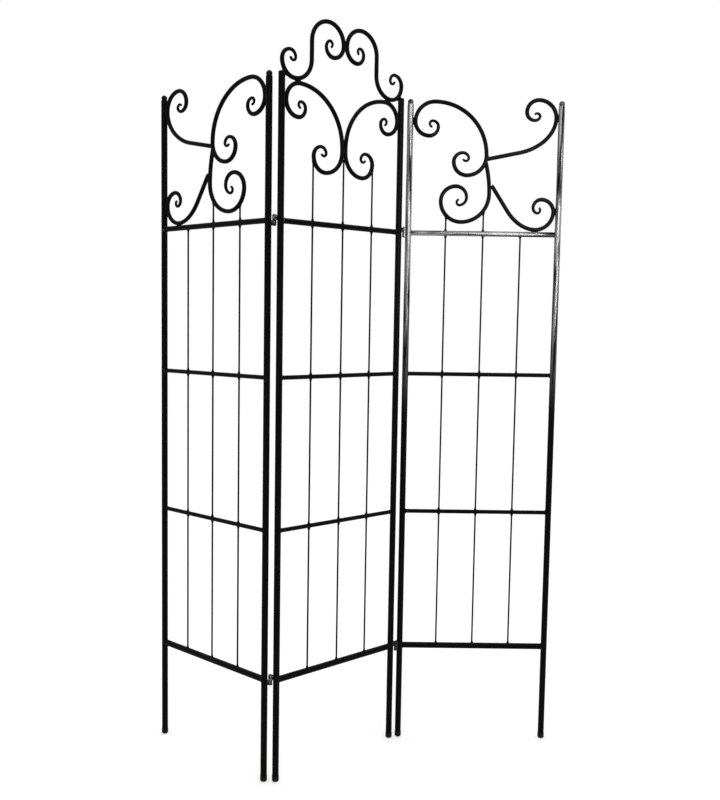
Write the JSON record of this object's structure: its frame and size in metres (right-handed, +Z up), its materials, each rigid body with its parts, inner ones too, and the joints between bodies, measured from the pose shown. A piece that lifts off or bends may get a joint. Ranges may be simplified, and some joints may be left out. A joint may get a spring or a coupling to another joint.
{
  "type": "folding trellis",
  "caption": "Folding garden trellis screen of hinged black steel panels: tube posts, cross rails, thin upright wires, scrollwork above and a heart-and-crown middle panel.",
  "frame": {"origin": "on the floor, under the middle of the box round the zig-zag plan", "axes": "+Z up, +X along the right panel towards its outer post, +Y away from the picture's viewer"},
  "size_m": [1.036, 0.2823, 1.8294],
  "materials": {
    "post_paint": "gloss black paint on steel tube",
    "rail_paint": "gloss black paint on steel tube",
    "wire_paint": "black paint on steel wire",
    "scroll_paint": "gloss black paint on bent round bar",
    "cap_paint": "gloss black paint",
    "foot_plastic": "black moulded plug",
    "hinge_paint": "black paint, worn at the barrel",
    "hinge_pin": "black paint, worn at the head"
  },
  "bodies": {
    "centre_panel": {"centre_caps": "cap_paint", "centre_feet": "foot_plastic", "centre_left_crown": "scroll_paint", "centre_left_heart": "scroll_paint", "centre_left_post": "post_paint", "centre_rail_1": "rail_paint", "centre_rail_2": "rail_paint", "centre_rail_3": "rail_paint", "centre_rail_4": "rail_paint", "centre_right_crown": "scroll_paint", "centre_right_heart": "scroll_paint", "centre_right_post": "post_paint", "centre_wire_1": "wire_paint", "centre_wire_2": "wire_paint", "centre_wire_3": "wire_paint", "left_lower_hinge_top_knuckle": "hinge_paint", "left_upper_hinge_top_knuckle": "hinge_paint", "right_lower_hinge_top_knuckle": "hinge_paint", "right_upper_hinge_top_knuckle": "hinge_paint"},
    "left_panel": {"left_arch_scroll": "scroll_paint", "left_caps": "cap_paint", "left_feet": "foot_plastic", "left_hinge_post": "post_paint", "left_lower_branch": "scroll_paint", "left_lower_hinge_bottom_knuckle": "hinge_paint", "left_lower_hinge_pin": "hinge_pin", "left_lower_scroll": "scroll_paint", "left_outer_post": "post_paint", "left_rail_1": "rail_paint", "left_rail_2": "rail_paint", "left_rail_3": "rail_paint", "left_rail_4": "rail_paint", "left_upper_branch": "scroll_paint", "left_upper_hinge_bottom_knuckle": "hinge_paint", "left_upper_hinge_pin": "hinge_pin", "left_wire_1": "wire_paint", "left_wire_2": "wire_paint", "left_wire_3": "wire_paint"},
    "right_panel": {"right_arch_scroll": "scroll_paint", "right_caps": "cap_paint", "right_feet": "foot_plastic", "right_hinge_post": "post_paint", "right_lower_branch": "scroll_paint", "right_lower_hinge_bottom_knuckle": "hinge_paint", "right_lower_hinge_pin": "hinge_pin", "right_lower_scroll": "scroll_paint", "right_outer_post": "post_paint", "right_rail_1": "rail_paint", "right_rail_2": "rail_paint", "right_rail_3": "rail_paint", "right_rail_4": "rail_paint", "right_upper_branch": "scroll_paint", "right_upper_hinge_bottom_knuckle": "hinge_paint", "right_upper_hinge_pin": "hinge_pin", "right_wire_1": "wire_paint", "right_wire_2": "wire_paint", "right_wire_3": "wire_paint"}
  },
  "joints": [
    {"name": "left_fold", "type": "hinge", "parent": "centre_panel", "child": "left_panel", "pos_m": [-0.21124, -0.13276, 1.349], "axis": [0, 0, -1], "range_deg": [-104, 96]},
    {"name": "right_fold", "type": "hinge", "parent": "centre_panel", "child": "right_panel", "pos_m": [0.11039, 0.12219, 1.349], "axis": [0, 0, -1], "range_deg": [-61, 139]}
  ]
}
